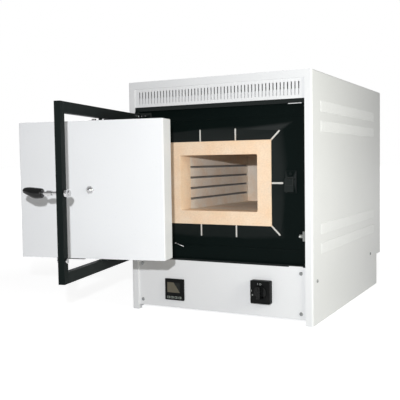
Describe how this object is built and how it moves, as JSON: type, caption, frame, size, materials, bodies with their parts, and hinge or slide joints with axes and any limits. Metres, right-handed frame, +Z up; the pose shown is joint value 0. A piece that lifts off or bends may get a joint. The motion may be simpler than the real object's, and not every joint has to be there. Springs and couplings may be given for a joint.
{
  "type": "jewellery kiln",
  "caption": "Bench muffle kiln with a white sheet-metal case, fibre chamber, control panel and a side-hung door on a swinging yoke.",
  "frame": {"origin": "centre of the outline's bottom, with the door open as pictured, on the bench surface", "axes": "+Z up, +Y from the front panel to the back, +X to the right of someone facing the kiln"},
  "size_m": [0.538, 0.976, 0.52],
  "materials": {
    "white_paint": "satin powder coat",
    "black_paint": "satin powder coat",
    "zinc_steel": "zinc plated",
    "white_fibre": "matt fibre board",
    "fired_fibre": "matt fibre board, tanned by heat",
    "coil_wire": "oxidised resistance wire",
    "thermocouple_tube": "unglazed tube",
    "black_plastic": "fine texture",
    "display": "clear window over an unlit display",
    "key_grey": "smooth",
    "knob_plastic": "polished",
    "relay_metal": "anodised fins",
    "white_plastic": "moulded",
    "grey_plastic": "moulded",
    "bright_steel": "plated",
    "dark_screws": "blackened",
    "grip_plastic": "moulded, glossy",
    "rubber_strip": "extruded"
  },
  "bodies": {
    "case": {"outer_cover": "white_paint", "base_tray": "zinc_steel", "control_panel": "white_paint", "front_grille": "white_paint", "upper_rear_panel": "white_paint", "lower_rear_panel": "white_paint", "front_plate": "black_paint", "chamber_shelf": "zinc_steel", "jacket_rails": "zinc_steel", "inner_jacket": "zinc_steel", "front_insulation": "white_fibre", "top_insulation": "white_fibre", "bottom_insulation": "white_fibre", "left_insulation": "white_fibre", "right_insulation": "white_fibre", "rear_insulation": "white_fibre", "chamber_collar": "fired_fibre", "chamber_left_wall": "fired_fibre", "chamber_right_wall": "fired_fibre", "chamber_roof": "fired_fibre", "chamber_hearth": "fired_fibre", "chamber_back_wall": "fired_fibre", "left_heating_coils": "coil_wire", "right_heating_coils": "coil_wire", "thermocouple": "thermocouple_tube", "thermocouple_head": "zinc_steel", "controller_body": "black_plastic", "controller_bezel": "black_plastic", "controller_window": "display", "switch_body": "black_plastic", "switch_cover": "black_plastic", "power_relay": "relay_metal", "terminal_block": "white_plastic", "cable_gland": "black_plastic", "door_switch": "grey_plastic", "keeper": "black_paint", "hinge_bracket_top": "black_paint", "hinge_bracket_bottom": "black_paint", "link_bracket": "black_paint", "panel_screws": "dark_screws"},
    "yoke": {"yoke_hinge_bar": "black_paint", "yoke_top_arm": "black_paint", "yoke_bottom_arm": "black_paint", "yoke_outer_bar": "black_paint", "yoke_bolts": "bright_steel"},
    "leaf": {"leaf_shell": "white_paint", "leaf_pad": "fired_fibre", "leaf_centre_bolt": "bright_steel", "leaf_pivot_plate": "zinc_steel", "leaf_buffer": "rubber_strip"},
    "link": {"door_link": "black_paint"},
    "handle": {"handle_shaft": "bright_steel", "handle_grip": "grip_plastic", "latch_cam": "bright_steel"},
    "key_1": {"controller_key_1": "key_grey"},
    "key_2": {"controller_key_2": "key_grey"},
    "key_3": {"controller_key_3": "key_grey"},
    "key_4": {"controller_key_4": "key_grey"},
    "switch_knob_body": {"switch_knob": "knob_plastic"},
    "plunger": {"door_switch_plunger": "white_plastic"}
  },
  "joints": [
    {"name": "door_swing", "type": "hinge", "parent": "case", "child": "yoke", "pos_m": [-0.13969, -0.10103, 0.287], "axis": [0, 0, 1], "range_deg": [-12, 78]},
    {"name": "leaf_turn", "type": "hinge", "parent": "yoke", "child": "leaf", "pos_m": [-0.0974, -0.29998, 0.286], "axis": [0, 0, 1], "range_deg": [-89, 14]},
    {"name": "link_swing", "type": "hinge", "parent": "case", "child": "link", "pos_m": [-0.13019, -0.09153, 0.424], "axis": [0, 0, 1], "range_deg": [-12.3, 78.3]},
    {"name": "handle_turn", "type": "hinge", "parent": "yoke", "child": "handle", "pos_m": [-0.06189, -0.46705, 0.287], "axis": [-0.9781, -0.2079, 0], "range_deg": [0, 180]},
    {"name": "switch_turn", "type": "hinge", "parent": "case", "child": "switch_knob_body", "pos_m": [0.15501, -0.10203, 0.0643], "axis": [0, 1, 0], "range_deg": [0, 90]},
    {"name": "plunger_press", "type": "slide", "parent": "case", "child": "plunger", "axis": [0, 1, 0], "range_m": [0, 0.003], "stiffness_N_per_m": 250},
    {"name": "key_1_press", "type": "slide", "parent": "case", "child": "key_1", "axis": [0, 1, 0], "range_m": [0, 0.0006], "stiffness_N_per_m": 900},
    {"name": "key_2_press", "type": "slide", "parent": "case", "child": "key_2", "axis": [0, 1, 0], "range_m": [0, 0.0006], "stiffness_N_per_m": 900},
    {"name": "key_3_press", "type": "slide", "parent": "case", "child": "key_3", "axis": [0, 1, 0], "range_m": [0, 0.0006], "stiffness_N_per_m": 900},
    {"name": "key_4_press", "type": "slide", "parent": "case", "child": "key_4", "axis": [0, 1, 0], "range_m": [0, 0.0006], "stiffness_N_per_m": 900}
  ],
  "couplings": [
    {"joint": "leaf_turn", "follows": "door_swing", "ratio": -1.1359},
    {"joint": "link_swing", "follows": "door_swing", "ratio": 0.9977}
  ]
}
